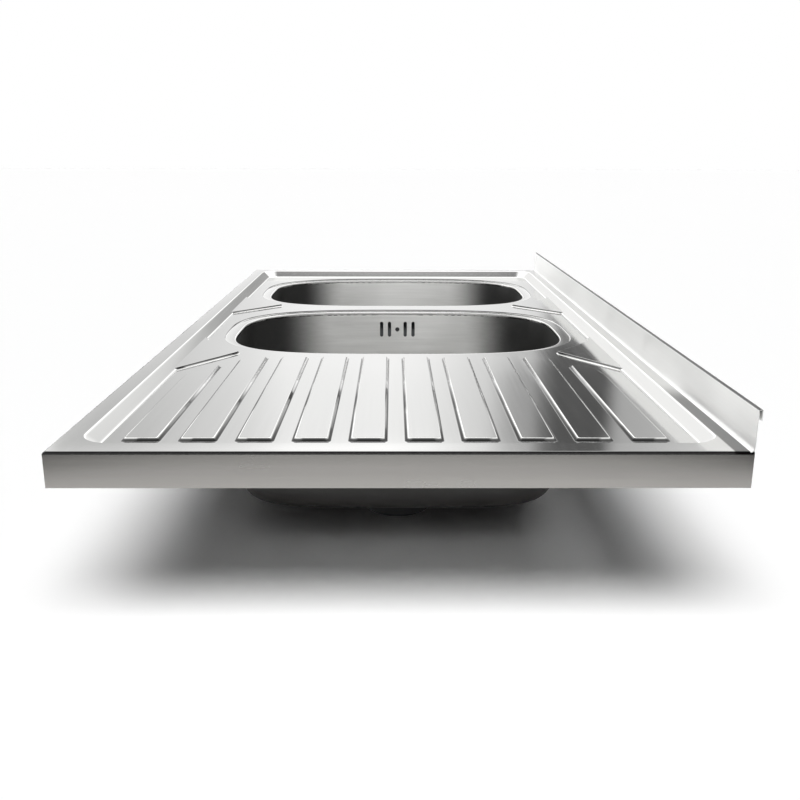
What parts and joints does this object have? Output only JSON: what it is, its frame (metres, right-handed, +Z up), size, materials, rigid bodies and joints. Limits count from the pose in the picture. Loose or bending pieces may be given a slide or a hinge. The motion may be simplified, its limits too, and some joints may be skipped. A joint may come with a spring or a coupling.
{
  "type": "kitchen sink with drainboard",
  "caption": "Lay-on stainless steel kitchen sink with a ribbed drainboard, deep bowls, overflow, back upstand and lift-out basket strainer wastes.",
  "frame": {"origin": "centre of the plane in which the rim rests on the cabinet, the underside of the rim", "axes": "+X along the length towards the drainer's end, +Y towards the wall and the upstand, +Z up"},
  "size_m": [1.2, 0.6, 0.326],
  "materials": {
    "pressed_steel": "satin rolled stainless steel, bright on pressed edges",
    "bowl_steel": "fine brushed stainless steel",
    "polished_steel": "polished stainless steel",
    "galvanised_steel": "dull zinc-coated steel",
    "rubber": "matt moulded rubber",
    "grey_plastic": "moulded dark grey polypropylene",
    "white_plastic": "moulded white polypropylene",
    "damping_pad": "matt bitumen sheet"
  },
  "bodies": {
    "sink": {"top_sheet": "pressed_steel", "drainer_bowl": "bowl_steel", "end_bowl": "bowl_steel", "overflow_screw": "polished_steel", "overflow_gasket": "rubber", "overflow_box": "grey_plastic", "overflow_hose": "white_plastic", "hose_clip_top": "polished_steel", "hose_clip_bottom": "polished_steel", "drainer_stiffener": "galvanised_steel", "drainer_flange_seal": "rubber", "drainer_strainer_cup": "polished_steel", "drainer_body_seal": "rubber", "drainer_waste_body": "grey_plastic", "drainer_clamp_screw": "polished_steel", "drainer_outlet_seal": "rubber", "drainer_outlet_nut": "grey_plastic", "drainer_pad_front": "damping_pad", "drainer_pad_rear": "damping_pad", "end_flange_seal": "rubber", "end_strainer_cup": "polished_steel", "end_body_seal": "rubber", "end_waste_body": "grey_plastic", "end_clamp_screw": "polished_steel", "end_outlet_seal": "rubber", "end_outlet_nut": "grey_plastic", "end_pad_front": "damping_pad", "end_pad_rear": "damping_pad"},
    "drainer_strainer": {"drainer_basket": "polished_steel", "drainer_basket_knob": "grey_plastic", "drainer_stopper": "rubber"},
    "end_strainer": {"end_basket": "polished_steel", "end_basket_knob": "grey_plastic", "end_stopper": "rubber"}
  },
  "joints": [
    {"name": "drainer_basket_lift", "type": "slide", "parent": "sink", "child": "drainer_strainer", "axis": [0, 0, 1], "range_m": [0, 0.3]},
    {"name": "end_basket_lift", "type": "slide", "parent": "sink", "child": "end_strainer", "axis": [0, 0, 1], "range_m": [0, 0.3]}
  ]
}
